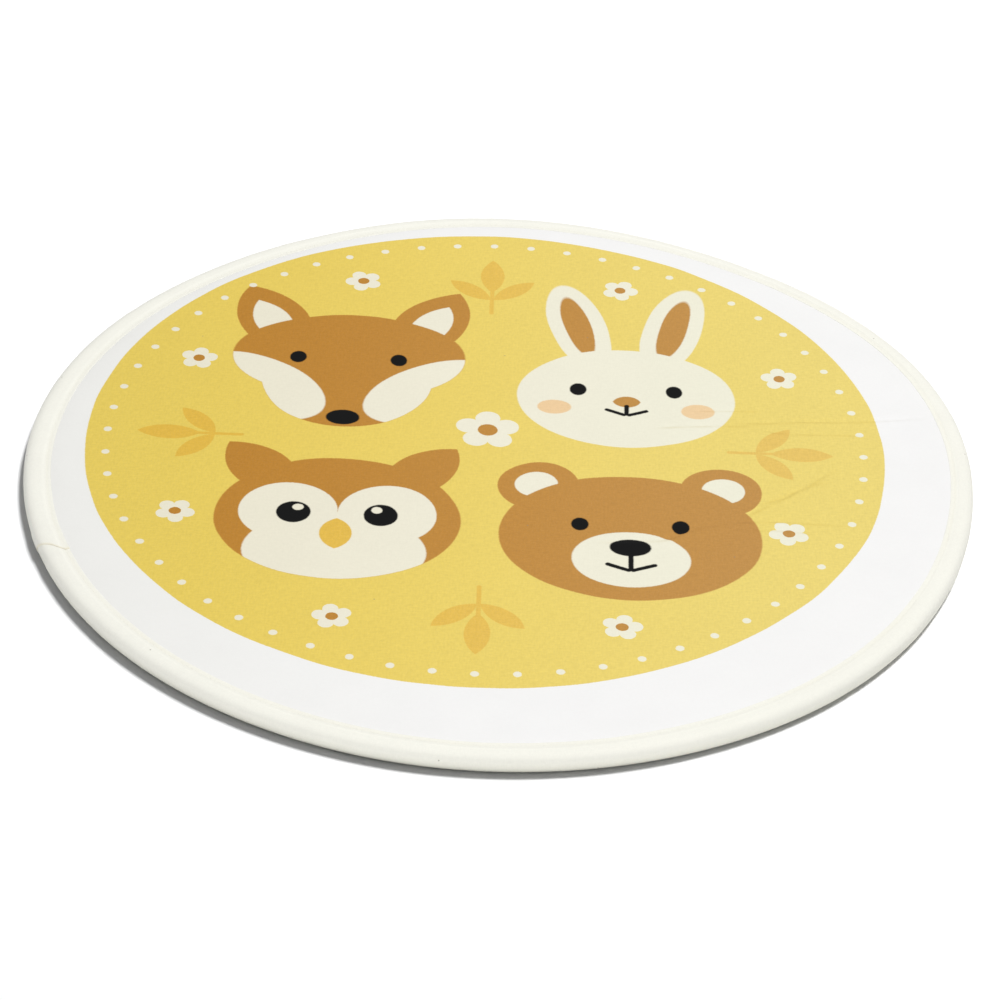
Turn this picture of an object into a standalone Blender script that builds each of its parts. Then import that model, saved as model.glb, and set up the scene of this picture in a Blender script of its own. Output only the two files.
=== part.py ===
"""A round, foam-filled floor mat with a padded strip of binding sewn round its edge.

The mat lies flat on the floor, z = 0, with the origin under its middle. Its pad and its
binding are each turned from a drawn section, and then pushed a little out of round, as a
hand-sewn mat is. In a section, a point is (inset from the rim, height above the floor).
"""

from math import atan2, copysign, cos, hypot, pi, radians, sin

import bmesh
import bpy
from mathutils import Vector

# Size over the binding
DIAMETER = 0.600
RIM = DIAMETER / 2

# The binding in section: a rounded roll, a stitch groove and a narrow flat edge
ROLL_WIDTH = 0.015
ROLL_HEIGHT = 0.013
ROLL_FULLNESS = 2.3  # 2 is a plain oval, and more is squarer
ROLL_STEPS = 8
SHOULDER = ((0.0100, 0.0128), (0.0125, 0.0122))  # from the top of the roll to the groove
GROOVE_INSET = 0.014
GROOVE_HEIGHT = 0.0117
EDGE_INSET = 0.017
EDGE_HEIGHT = 0.0120
EDGE_ROUNDING = 0.0005
TAPE = 0.0014  # the doubled strip of cloth

# The overlap where the two ends of the strip meet, at the left of the mat
JOIN_AT = radians(200.8)
JOIN_LENGTH = 0.017
JOIN_RAMP = 0.0015
JOIN_RISE = 0.0006
LIFTED_ABOVE = 0.002  # the strip lies flat on the floor below this height

# The pad: a flat face that drops in a soft pillow edge to the stitch line
PAD_HEIGHT = 0.0127
PAD_EDGE_WIDTH = 0.026
PAD_EDGE_STEPS = 6
PAD_FACE_RINGS = (0.36, 0.72)  # shares of the flat face's radius
GAP = 0.0003

# Sections in one turn, besides the four that bound the join
TURN_STEPS = 88

# How far out of round the rim is: waves in a turn, their size, and where a crest lies
RIM_WAVES = (
    {"waves": 3, "size": 0.00036, "crest": radians(30)},
    {"waves": 4, "size": 0.00092, "crest": radians(14)},
    {"waves": 5, "size": 0.00097, "crest": radians(23)},
    {"waves": 6, "size": 0.00054, "crest": radians(28)},
)
ROUND_INSET = 0.070  # the pad is truly round from here inwards
FULL_WAVE_INSET = 0.025

IVORY = (0.905, 0.896, 0.800)
FACE_WHITE = (0.885, 0.888, 0.880)
UP = Vector((0, 0, 1))
SAME_POINT = 1e-6


def clear_scene():
    for obj in list(bpy.data.objects):
        bpy.data.objects.remove(obj, do_unlink=True)


def material(name, colour, roughness):
    made = bpy.data.materials.new(name)
    made.use_nodes = True
    shader = made.node_tree.nodes["Principled BSDF"]
    shader.inputs["Base Color"].default_value = (*colour, 1.0)
    shader.inputs["Roughness"].default_value = roughness
    shader.inputs["Metallic"].default_value = 0.0
    return made


def squared(part):
    """A sine or cosine, drawn out so that the oval made of it is a little squarer."""
    return copysign(abs(part) ** (2 / ROLL_FULLNESS), part)


def roll_arc(shrink):
    """The roll, drawn in by shrink, from its foot round the rim and down to the groove."""
    points = []
    for step in range(ROLL_STEPS + 1):
        angle = 3 * pi / 2 - pi * step / ROLL_STEPS
        inset = ROLL_WIDTH / 2 + (ROLL_WIDTH / 2 - shrink) * squared(cos(angle))
        height = ROLL_HEIGHT / 2 + (ROLL_HEIGHT / 2 - shrink) * squared(sin(angle))
        points.append((inset, height))
    return points + [(inset, height - shrink) for inset, height in SHOULDER]


def binding_outside():
    """From the underside's inner end, round the roll, to the lip of the flat edge."""
    return [
        (EDGE_INSET, 0.0),
        *roll_arc(0.0),
        (GROOVE_INSET, GROOVE_HEIGHT - EDGE_ROUNDING / 2),
        (GROOVE_INSET + 2 * EDGE_ROUNDING, EDGE_HEIGHT),
        (EDGE_INSET - EDGE_ROUNDING, EDGE_HEIGHT),
        (EDGE_INSET, EDGE_HEIGHT - EDGE_ROUNDING),
    ]


def binding_hollow():
    """Back under the flat edge and round the inside of the roll."""
    return [
        (EDGE_INSET, EDGE_HEIGHT - TAPE + EDGE_ROUNDING / 2),
        (GROOVE_INSET, GROOVE_HEIGHT - TAPE),
        *reversed(roll_arc(TAPE)),
        (EDGE_INSET, TAPE),
    ]


def pad_edge():
    """The pillow edge, from the flat face down to the flat edge of the binding."""
    low = EDGE_HEIGHT - TAPE + EDGE_ROUNDING / 2 - GAP
    points = []
    for step in range(PAD_EDGE_STEPS + 1):
        share = 1 - step / PAD_EDGE_STEPS
        inset = EDGE_INSET + GAP + PAD_EDGE_WIDTH * share
        points.append((inset, low + (PAD_HEIGHT - low) * sin(share * pi / 2)))
    return points


def pad_section():
    """From the middle of the face, over the rim, to the middle of the underside."""
    flat = RIM - pad_edge()[0][0]
    return [
        (RIM, PAD_HEIGHT),
        *((RIM - share * flat, PAD_HEIGHT) for share in PAD_FACE_RINGS),
        *pad_edge(),
        (GROOVE_INSET, GROOVE_HEIGHT - TAPE - GAP),
        *reversed(roll_arc(TAPE + GAP)),
        (EDGE_INSET + GAP, TAPE + GAP),
        (EDGE_INSET + GAP, 0.0),
        (RIM, 0.0),
    ]


def turned(section, closed):
    """A bmesh of the section turned once about the mat's middle, starting at the join."""
    body = (JOIN_LENGTH - 2 * JOIN_RAMP) / RIM
    ramp = JOIN_RAMP / RIM
    arcs = ((ramp, 1), (body, 1), (ramp, 1), (2 * pi - body - 2 * ramp, TURN_STEPS))
    start = JOIN_AT - body / 2 - ramp
    mesh = bmesh.new()
    points = [
        mesh.verts.new(((RIM - inset) * cos(start), (RIM - inset) * sin(start), height))
        for inset, height in section
    ]
    followers = points[1:] + points[:1] if closed else points[1:]
    edges = [mesh.edges.new(pair) for pair in zip(points, followers)]
    last = points + edges
    for angle, steps in arcs:
        made = bmesh.ops.spin(
            mesh, geom=last, cent=(0, 0, 0), axis=UP, angle=angle, steps=steps
        )
        last = made["geom_last"]
    bmesh.ops.remove_doubles(mesh, verts=mesh.verts, dist=SAME_POINT)
    return mesh


def eased(value, start, end):
    share = min(max((value - start) / (end - start), 0.0), 1.0)
    return share * share * (3 - 2 * share)


def rim_wave(angle):
    return sum(
        wave["size"] * cos(wave["waves"] * (angle - wave["crest"])) for wave in RIM_WAVES
    )


def join_lift(angle):
    """The overlap's extra height: full over the join, and none past the ends of its ramps."""
    away = abs((angle - JOIN_AT + pi) % (2 * pi) - pi) * RIM
    return JOIN_RISE if away < (JOIN_LENGTH - JOIN_RAMP) / 2 else 0.0


def lift_join(mesh, outside):
    """Raises the outside of the strip over the join, away from the roll's middle."""
    core = Vector((ROLL_WIDTH / 2, ROLL_HEIGHT / 2))
    for vert in mesh.verts:
        point = Vector((RIM - hypot(vert.co.x, vert.co.y), vert.co.z))
        on_outside = any((point - Vector(other)).length < 1e-5 for other in outside)
        if not on_outside or vert.co.z < LIFTED_ABOVE:
            continue
        away = (point - core).normalized() if point.x < GROOVE_INSET else Vector((0, 1))
        lift = join_lift(atan2(vert.co.y, vert.co.x))
        out = Vector((vert.co.x, vert.co.y, 0)).normalized()
        vert.co += lift * (away.y * UP - away.x * out)


def push_out_of_round(mesh):
    for vert in mesh.verts:
        radius = hypot(vert.co.x, vert.co.y)
        if radius < SAME_POINT:
            continue
        share = 1 - eased(RIM - radius, FULL_WAVE_INSET, ROUND_INSET)
        grown = 1 + share * rim_wave(atan2(vert.co.y, vert.co.x)) / radius
        vert.co.x *= grown
        vert.co.y *= grown


def finished(name, mesh, finish):
    bmesh.ops.recalc_face_normals(mesh, faces=mesh.faces)
    data = bpy.data.meshes.new(name)
    mesh.to_mesh(data)
    mesh.free()
    data.shade_smooth()
    data.set_sharp_from_angle(angle=radians(50))
    data.materials.append(finish)
    obj = bpy.data.objects.new(name, data)
    bpy.context.collection.objects.link(obj)
    return obj


def make_pad():
    mesh = turned(pad_section(), closed=False)
    push_out_of_round(mesh)
    return finished("pad", mesh, material("printed face cloth", FACE_WHITE, 0.85))


def make_binding():
    outside = binding_outside()
    mesh = turned(outside + binding_hollow(), closed=True)
    lift_join(mesh, outside)
    push_out_of_round(mesh)
    return finished("binding", mesh, material("ivory binding cloth", IVORY, 0.80))


clear_scene()
make_pad()
make_binding()
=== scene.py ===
"""The looks of a round, foam-filled floor mat: its printed face, its sewn-on binding and the
stitches that hold it, on a plain pale floor.

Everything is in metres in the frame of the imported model: the mat lies on the floor, z = 0,
with the origin under its middle. In a section, a point is (inset from the rim, height).
The printed motifs are drawn in millimetres.
"""

from math import cos, pi, radians, sin, tan

import bpy
import numpy as np
from bpy.props import FloatProperty, FloatVectorProperty, PointerProperty
from mathutils import Matrix, Vector, noise


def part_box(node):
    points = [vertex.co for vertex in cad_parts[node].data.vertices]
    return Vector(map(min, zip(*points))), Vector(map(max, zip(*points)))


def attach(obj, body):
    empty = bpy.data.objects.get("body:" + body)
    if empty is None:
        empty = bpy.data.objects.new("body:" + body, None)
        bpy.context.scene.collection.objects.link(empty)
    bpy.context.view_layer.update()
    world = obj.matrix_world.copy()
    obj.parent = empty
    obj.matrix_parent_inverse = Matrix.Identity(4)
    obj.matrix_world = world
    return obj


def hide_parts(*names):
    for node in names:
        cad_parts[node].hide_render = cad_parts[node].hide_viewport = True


bl_info = {
    "name": "Round Padded Floor Mat",
    "version": (1, 0, 0),
    "blender": (4, 5, 0),
    "location": "3D View > Sidebar > Mat",
    "description": "Makes a round padded floor mat with a printed face and a sewn binding",
    "category": "Add Mesh",
}

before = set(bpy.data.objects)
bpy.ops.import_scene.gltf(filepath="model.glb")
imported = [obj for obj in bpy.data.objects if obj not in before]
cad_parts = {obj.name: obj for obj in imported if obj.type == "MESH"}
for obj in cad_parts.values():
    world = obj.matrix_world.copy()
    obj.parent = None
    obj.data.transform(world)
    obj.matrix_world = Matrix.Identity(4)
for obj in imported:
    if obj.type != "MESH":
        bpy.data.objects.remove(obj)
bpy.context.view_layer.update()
BODY = "root"
MM = 0.001
SHARP = radians(50)  # edges bent further than this stay sharp

# The rim, and how far out of round it is: waves in a turn, their size, where a crest lies
RIM = 0.300
RIM_WAVES = (
    (3, 0.00036, radians(30)),
    (4, 0.00092, radians(14)),
    (5, 0.00097, radians(23)),
    (6, 0.00054, radians(28)),
)
ROUND_INSET = 0.070
FULL_WAVE_INSET = 0.025

# The binding in section
ROLL_WIDTH = 0.015
ROLL_HEIGHT = 0.013
ROLL_FULLNESS = 2.3  # 2 is a plain oval, and more is squarer
ROLL_STEPS = 17
STRIP = 0.0005  # the strip of cloth, folded double
GROOVE_INSET = 0.0143
GROOVE_HEIGHT = 0.01234
GROOVE_WIDTH = 0.0008
EDGE_INSET = 0.0170
EDGE_HEIGHT = 0.01240
SHOULDER_STEPS = 12
SHOULDER_START = 0.6  # of a step, from the groove
SHOULDER_FALL = 1.5
SHOULDER = tuple(  # from the groove up to the top of the roll
    (
        GROOVE_INSET - share * (GROOVE_INSET - ROLL_WIDTH / 2),
        ROLL_HEIGHT - (ROLL_HEIGHT - GROOVE_HEIGHT) * (1 - share) ** SHOULDER_FALL,
    )
    for share in (
        (step + SHOULDER_START) / (SHOULDER_STEPS + SHOULDER_START)
        for step in range(SHOULDER_STEPS)
    )
)
COARSE_SHOULDER = SHOULDER[3::4]

# Uneven waves are written as their size, their wavelength and their seed
SEAM_NOISE = ((0.00025, 0.035, 3.9), (0.00010, 0.009, 0.4))
FULLNESS_NOISE = ((0.00022, 0.110, 2.2), (0.00012, 0.030, 4.4))
GATHER_NOISE = ((1.0, 0.0075, 6.6), (0.45, 0.0035, 2.9))
PULLED_NOISE = ((0.00006, 0.012, 1.7),)
EDGE_NOISE = ((0.00002, 0.018, 7.2),)

# How the seam wanders in and out of its circle: waves in a turn, their size, their crest
SEAM_INSET = -0.0015
SEAM_WAVES = (
    (1, 0.0012, radians(182)),
    (2, 0.0008, radians(152)),
    (3, 0.0003, radians(54)),
)
SEAM_NEAR_ROLL = 0.0085
SEAM_SETTLED = 0.035

# The gathers of the roll: their size, and where on the roll's section they are strongest
GATHER_SIZE = 0.00036
GATHERED_AT = radians(80)
GATHERED_OVER = radians(60)

# A slightly raised ridge where the strip is creased on top of the roll; it is also painted
# paler, a painted highlight
RIDGE_INSET = 0.0106
RIDGE_WANDER = 0.0018
RIDGE_NOISE = ((0.0003, 0.04, 1.3),)
RIDGE_TURN = radians(10)
RIDGE_WIDTH = 0.0010
RIDGE_HEIGHT = 0.00010

# The stitches in the groove
STITCHES = 500
STITCH_LENGTH = 0.0024
STITCH_CUTS = (-0.85, -0.5, 0.0, 0.5, 0.85)  # shares of its half length
STITCH_DIP = 0.00050
THREAD = 0.00011
RINGS_PER_STITCH = 3

# Where the strip's outer end lies over its other end
JOIN_AT = radians(202.0)
JOIN_LENGTH = 0.017
JOIN_LIFT = 0.00035
JOIN_SLANT = (  # degrees round the roll's section, and how far along the rim the end reaches
    (20, 40, 90, 180, 225, 300),
    (0.0065, 0.0065, 0.0, -0.0080, -0.0095, -0.0095),
)
JOIN_GAP = 0.00003
JOIN_WELT = 0.00016  # the turned-in cloth that swells the outer end
BENT_OVER = 0.040  # the last of the strip, whose rings turn towards the slant
END_RINGS = (0.0003, 0.0005)  # the two rings past the last, which round the outer end
END_CLOSING = (0.00008, 0.00021)

# The pad
PAD_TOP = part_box("pad")[1].z
PAD_EDGE_INSET = EDGE_INSET + 0.00003
PAD_EDGE_HEIGHT = 0.01238
PAD_EDGE_WIDTH = 0.024
PAD_EDGE_FULLNESS = 2.3
PAD_CLEARANCE = 0.0001
PAD_UNDER_RINGS = (0.060, 0.160)  # insets
FACE_RINGS = 100
FINE_INSET = 0.032
FINE_NEAR_CREASE = 0.007
FINEST_NEAR_CREASE = 0.0042
FACE_SWELLS = ((0.00022, 0.085, 3.1), (0.00007, 0.024, 7.7))
FACE_SUNK = 0.00015
PINCH_SWELL = 0.00028  # the filling pushed up beside the seam
PINCH_REACH = 0.0025
PUCKER_NOISE = ((1.0, 0.0075, 5.3),)
PUCKER_SIZE = 0.00010
PUCKER_PATCHES = ((0.00012, 0.055, 9.9),)
FRONT_PUCKERS = 0.00016
FRONT_AT = radians(-82)
FRONT_OVER = radians(9)

# Creases in the face cloth, in millimetres: depth, half width, and the line they follow
CREASES = (
    (1.00, 2.0, ((142, 52), (170, 53), (192, 56), (223, 58), (251, 62), (276, 65))),
    (0.65, 1.8, ((96, 43), (118, 46), (140, 48), (168, 49))),
    (0.50, 1.6, ((122, 64), (147, 66), (168, 67))),
    (0.65, 1.8, ((166, 45), (180, 42), (197, 42), (220, 43), (240, 42))),
    (1.00, 2.0, ((150, -56), (162, -45), (176, -33), (189, -22), (201, -9), (216, 7))),
    (0.65, 1.8, ((160, -41), (177, -29), (192, -18), (210, -9))),
    (0.80, 2.1, ((56, -86), (85, -83), (104, -80), (117, -71), (131, -64), (154, -58))),
    (0.90, 2.0, ((142, -60), (165, -57), (187, -57), (218, -58))),
    (0.40, 1.6, ((150, -67), (172, -66), (196, -68))),
)
# In half widths from the line: where the trough, its ridge and its shade lie, and how wide
TROUGH = (0.9, 1.15)
LOW_RIDGE = (-1.0, 1.5)
SHADED_WALL = (-0.1, 0.5**0.5)
FULLY_SHADED = 0.5  # the depth from which a crease is as dark as any


# ---- shapes


def eased(value, start, end):
    share = np.clip((value - start) / (end - start), 0.0, 1.0)
    return share * share * (3 - 2 * share)


def bell(value, middle, width):
    """A smooth bump, 1 at its middle."""
    return np.exp(-(((value - middle) / width) ** 2))


def polar(points):
    """The angle and the radius of each point about the mat's middle."""
    return np.arctan2(points[:, 1], points[:, 0]), np.hypot(points[:, 0], points[:, 1])


def waves_at(angle, waves):
    return sum(size * np.cos(count * (angle - crest)) for count, size, crest in waves)


def rim_noise(angles, *waves):
    """Uneven waves along the rim, laid over one another, the same each time."""
    total = 0
    for size, wavelength, seed in waves:
        reach = RIM / wavelength
        total = total + size * np.array(
            [noise.noise(Vector((cos(a) * reach, sin(a) * reach, seed))) for a in angles]
        )
    return total


def face_noise(points, *waves):
    """Uneven waves over the face, laid over one another, the same each time."""
    total = 0
    for size, wavelength, seed in waves:
        total = total + size * np.array(
            [noise.noise(Vector((x / wavelength, y / wavelength, seed))) for x, y in points]
        )
    return total


def seam_shift(angle):
    """How much further in from the rim than its circle the seam runs."""
    return SEAM_INSET + rim_noise(angle, *SEAM_NOISE) + waves_at(angle, SEAM_WAVES)


def moved_with_seam(inset, height, shift):
    """Insets near the seam, on the face, moved in or out with it."""
    share = eased(inset, SEAM_NEAR_ROLL, GROOVE_INSET) * (
        1 - eased(inset, EDGE_INSET, EDGE_INSET + SEAM_SETTLED)
    )
    return inset + share * (height > ROLL_HEIGHT / 2) * shift


def pushed_out_of_round(points):
    angle, radius = polar(points)
    radius = np.maximum(radius, 1e-6)
    share = 1 - eased(RIM - radius, FULL_WAVE_INSET, ROUND_INSET)
    grown = 1 + share * waves_at(angle, RIM_WAVES) / radius
    return points * np.stack([grown, grown, np.ones_like(grown)], axis=1)


def mesh_points(obj):
    points = np.empty(len(obj.data.vertices) * 3)
    obj.data.vertices.foreach_get("co", points)
    return points.reshape(-1, 3)


def set_mesh_points(obj, points):
    obj.data.vertices.foreach_set("co", points.ravel())
    obj.data.update()


def point_attribute(mesh, name, values):
    layer = mesh.attributes.new(name, "FLOAT", "POINT")
    layer.data.foreach_set("value", np.ravel(values))


def deselect_all():
    bpy.ops.object.select_all(action="DESELECT")


def make_active(obj):
    deselect_all()
    obj.select_set(True)
    bpy.context.view_layer.objects.active = obj


def edit(obj, mode):
    """Opens a piece in edit mode, with vertices, edges or faces to be selected."""
    make_active(obj)
    kinds = ("VERT", "EDGE", "FACE")
    bpy.context.tool_settings.mesh_select_mode = tuple(mode == kind for kind in kinds)
    bpy.ops.object.mode_set(mode="EDIT")


def leave_edit():
    bpy.ops.object.mode_set(mode="OBJECT")


def face_outwards():
    bpy.ops.mesh.select_all(action="SELECT")
    bpy.ops.mesh.normals_make_consistent(inside=False)


def face_centres(obj):
    """Where the middle of each face lies, seen from above."""
    centres = np.empty(len(obj.data.polygons) * 3)
    obj.data.polygons.foreach_get("center", centres)
    return centres.reshape(-1, 3)[:, :2]


def halve(obj, chosen):
    """Divides in two each way the faces that the array of truths names."""
    mesh = obj.data
    for part in (mesh.vertices, mesh.edges):
        part.foreach_set("select", np.zeros(len(part), bool))
    mesh.polygons.foreach_set("select", chosen)
    edit(obj, "FACE")
    bpy.ops.mesh.subdivide(number_cuts=1)
    leave_edit()


# ---- pad


def in_rings(points):
    """Moves the points of a finely divided hexagon onto round rings about its middle."""
    angle, radius = polar(points)
    corner = angle[np.argmax(radius)]
    sixth = pi / 3
    side = np.floor((angle - corner) / sixth)
    along = (angle - corner) - (side + 0.5) * sixth
    ring = radius * np.cos(along) / cos(sixth / 2)
    share = np.tan(along) / tan(sixth / 2)
    turned = corner + (side + 0.5 + share / 2) * sixth
    return np.stack([ring * np.cos(turned), ring * np.sin(turned), points[:, 2]], axis=1)


def smooth_line(corners, steps=6):
    """A smooth line through the corners, as a row of close points."""
    padded = np.array([corners[0], *corners, corners[-1]], float)
    line = []
    for p, q, r, s in zip(padded, padded[1:], padded[2:], padded[3:]):
        for t in np.arange(steps) / steps:
            line.append(0.5 * (2 * q + (r - p) * t + (2 * p - 5 * q + 4 * r - s) * t**2
                               + (3 * q - p - 3 * r + s) * t**3))
    return np.array([*line, padded[-1]]) * MM


def to_crease(points, line):
    """Each point's distance to the line, signed by its side, and its share of the way along."""
    best = np.full(len(points), np.inf)
    signed, share = np.zeros(len(points)), np.zeros(len(points))
    for step, (a, b) in enumerate(zip(line, line[1:])):
        d = b - a
        t = np.clip(((points - a) @ d) / (d @ d), 0, 1)
        off = points - a - t[:, None] * d
        away = np.hypot(off[:, 0], off[:, 1])
        nearer = away < best
        side = np.sign(d[0] * off[:, 1] - d[1] * off[:, 0])
        best = np.where(nearer, away, best)
        signed = np.where(nearer, away * side, signed)
        share = np.where(nearer, (step + t) / (len(line) - 1), share)
    return signed, share


def crease_heights(points):
    """Pressed folds: a trough, with its steeper wall and a low ridge on the near side."""
    heights = 0
    for depth, width, corners in CREASES:
        away, share = to_crease(points, smooth_line(corners))
        away = away / (width * MM)
        fade = eased(share, 0, 0.25) * (1 - eased(share, 0.7, 1))
        uneven = 0.8 + 0.4 * np.sin(17 * share + 3 * width)
        shape = 0.4 * bell(away, *LOW_RIDGE) - 0.7 * bell(away, *TROUGH)
        heights = heights + depth * MM * fade * uneven * shape
    return heights


def folded_in(points):
    """How far the cloth at each point lies in the shade of a fold, from 0 to 1."""
    shade = 0
    for depth, width, corners in CREASES:
        away, share = to_crease(points, smooth_line(corners))
        wall = bell(away / (width * MM), *SHADED_WALL)
        fade = eased(share, 0, 0.2) * (1 - eased(share, 0.8, 1))
        uneven = 0.75 + 0.25 * np.sin(23 * share + 5 * width)
        shade = np.maximum(shade, wall * fade * uneven * min(depth / FULLY_SHADED, 1))
    return shade


def near_crease(points, reach):
    near = np.zeros(len(points), bool)
    for _, _, corners in CREASES:
        away, _ = to_crease(points, smooth_line(corners, steps=2))
        near |= np.abs(away) < reach
    return near


def roll_arc(drawn_in, steps):
    """Points from the top of the roll round the rim to its foot, drawn in from its outside."""
    turn = np.linspace(pi / 2, 3 * pi / 2, steps + 1)
    x, y = (np.sign(part) * np.abs(part) ** (2 / ROLL_FULLNESS)
            for part in (np.cos(turn), np.sin(turn)))
    return list(zip(
        (ROLL_WIDTH / 2 + (ROLL_WIDTH / 2 - drawn_in) * x).tolist(),
        (ROLL_HEIGHT / 2 + (ROLL_HEIGHT / 2 - drawn_in) * y).tolist(),
    ))


def pad_bead():
    """The pad's section under the binding, from the seam round the rim to its foot."""
    drawn_in = STRIP + PAD_CLEARANCE
    return [
        (PAD_EDGE_INSET, EDGE_HEIGHT - drawn_in),
        (EDGE_INSET - 0.0006, EDGE_HEIGHT - drawn_in),
        (GROOVE_INSET, GROOVE_HEIGHT - drawn_in),
        *((inset, height - drawn_in) for inset, height in COARSE_SHOULDER),
        *roll_arc(drawn_in, 10),
        (PAD_EDGE_INSET, drawn_in),
        (PAD_EDGE_INSET, 0.0),
        *((inset, 0.0) for inset in PAD_UNDER_RINGS),
    ]


def pad_face_heights(points, creases, unevenness):
    """The face: a pillow edge pinched and puckered by the seam, uneven filling, creases."""
    angle, radius = polar(points)
    from_seam = RIM - radius - PAD_EDGE_INSET
    share = np.clip(from_seam / PAD_EDGE_WIDTH, 0, 1)
    rise = 1 - (1 - share) ** PAD_EDGE_FULLNESS
    heights = PAD_EDGE_HEIGHT + (PAD_TOP - PAD_EDGE_HEIGHT) * rise
    free = 1 - np.exp(-from_seam / PINCH_REACH)
    heights += PINCH_SWELL * free * (1 - eased(from_seam, 0.004, 0.020))
    flat = points[:, :2]
    swell = face_noise(flat, *FACE_SWELLS) * eased(from_seam, 0, 0.012)
    heights += unevenness * (swell - FACE_SUNK)
    strength = PUCKER_SIZE + np.maximum(rim_noise(angle, *PUCKER_PATCHES), 0)
    strength = strength + FRONT_PUCKERS * bell(angle, FRONT_AT, FRONT_OVER)
    fade = eased(from_seam, 0, 0.0016) * np.exp(-from_seam / 0.0065)
    heights += rim_noise(angle, *PUCKER_NOISE) * strength * fade
    return heights + creases * crease_heights(flat)


def make_pad_mesh(creases, unevenness):
    deselect_all()
    bpy.ops.mesh.primitive_circle_add(
        vertices=6, radius=RIM - PAD_EDGE_INSET, fill_type="TRIFAN", location=(0, 0, 0)
    )
    pad = bpy.context.object
    pad.name = pad.data.name = "printed_pad"
    edit(pad, "FACE")
    bpy.ops.mesh.select_all(action="SELECT")
    bpy.ops.mesh.subdivide(number_cuts=FACE_RINGS - 1)
    leave_edit()
    set_mesh_points(pad, in_rings(mesh_points(pad)))

    centres = face_centres(pad)
    at_edge = polar(centres)[1] > RIM - FINE_INSET
    halve(pad, at_edge | near_crease(centres, FINE_NEAR_CREASE))
    halve(pad, near_crease(face_centres(pad), FINEST_NEAR_CREASE))
    points = mesh_points(pad)
    points[:, 2] = pad_face_heights(points, creases, unevenness)
    set_mesh_points(pad, points)

    edit(pad, "EDGE")
    bpy.ops.mesh.select_all(action="SELECT")
    bpy.ops.mesh.region_to_loop()
    here = (PAD_EDGE_INSET, PAD_EDGE_HEIGHT - unevenness * FACE_SUNK)
    for there in pad_bead():
        size = (RIM - there[0]) / (RIM - here[0])
        bpy.ops.mesh.extrude_region_move(
            TRANSFORM_OT_translate={"value": (0, 0, there[1] - here[1])}
        )
        bpy.ops.transform.resize(value=(size, size, 1), center_override=(0, 0, there[1]))
        here = there
    bpy.ops.mesh.merge(type="CENTER")
    face_outwards()
    leave_edit()
    points = mesh_points(pad)
    angle, radius = polar(points)
    radius = np.maximum(radius, 1e-9)
    wandered = RIM - moved_with_seam(RIM - radius, points[:, 2], seam_shift(angle))
    points[:, :2] *= (wandered / radius)[:, None]
    point_attribute(pad.data, "fold", creases * folded_in(points[:, :2]))
    set_mesh_points(pad, pushed_out_of_round(points))
    return pad


# ---- binding


def strip_outside():
    """The strip's outside in section, from its lip on the face round the rim to its foot."""
    lip = EDGE_INSET
    section = [
        (lip - 0.0001, EDGE_HEIGHT - STRIP * 0.95),
        (lip, EDGE_HEIGHT - STRIP * 0.6),
        (lip, EDGE_HEIGHT - STRIP * 0.16),
        (lip - 0.00006, EDGE_HEIGHT - STRIP * 0.04),
        (lip - 0.0003, EDGE_HEIGHT + 0.00001),
        (lip - 0.0010, EDGE_HEIGHT + 0.00003),
        (lip - 0.0016, EDGE_HEIGHT),
        (lip - 0.0022, EDGE_HEIGHT - 0.0001),
        (GROOVE_INSET + 0.00015, GROOVE_HEIGHT + 0.00001),
        (GROOVE_INSET - 0.00015, GROOVE_HEIGHT + 0.00002),
        *SHOULDER,
        *roll_arc(0.0, ROLL_STEPS),
        (0.0120, 0.0),
        (EDGE_INSET, 0.0),
    ]
    return np.array(section)


def strip_inside():
    """The strip's inside, from its foot back round the roll to under the lip."""
    section = [
        (EDGE_INSET, STRIP),
        *reversed(roll_arc(STRIP, 8)),
        *((inset, height - STRIP) for inset, height in reversed(COARSE_SHOULDER)),
        (GROOVE_INSET, GROOVE_HEIGHT - STRIP),
        (EDGE_INSET - 0.0007, EDGE_HEIGHT - STRIP),
    ]
    return np.array(section)


def outward(section):
    """At each point of the section, the way out of the roll or off the flat edge."""
    away = section - np.array([ROLL_WIDTH / 2, ROLL_HEIGHT / 2])
    away /= np.linalg.norm(away, axis=1)[:, None]
    inset, height = section.T
    away[(inset > GROOVE_INSET - 0.0006) & (height > ROLL_HEIGHT / 2)] = (0, 1)
    away[(inset > ROLL_WIDTH / 2) & (height < ROLL_HEIGHT / 2)] = (0, -1)
    return away


def strip_turns():
    """How far round the mat each ring of the strip lies, from its tucked end to its outer."""
    step = 2 * pi / (STITCHES * RINGS_PER_STITCH)
    overlap = round(JOIN_LENGTH / RIM / step)
    turn = np.arange(-overlap, STITCHES * RINGS_PER_STITCH + 1) * step
    return np.append(turn, turn[-1] + np.array(END_RINGS) / RIM)


def strip_faces(turn, section):
    """The faces of the strip's rings and its two ends, and where each corner lies on it."""
    rings, count = len(turn), len(section)
    along = np.linalg.norm(np.diff(section, axis=0, append=section[:1]), axis=1)
    across = np.concatenate([[0], np.cumsum(along)])
    faces, places = [], []
    for ring in range(rings - 1):
        for place in range(count):
            corners = ((ring, place), (ring, place + 1), (ring + 1, place + 1),
                       (ring + 1, place))
            faces.append([r * count + p % count for r, p in corners])
            places += [(turn[r] * RIM, across[p]) for r, p in corners]
    for ring, order in ((0, range(count)), (rings - 1, range(count - 1, -1, -1))):
        faces.append([ring * count + place for place in order])
        places += [(turn[ring] * RIM, across[place]) for place in order]
    return faces, places


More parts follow.
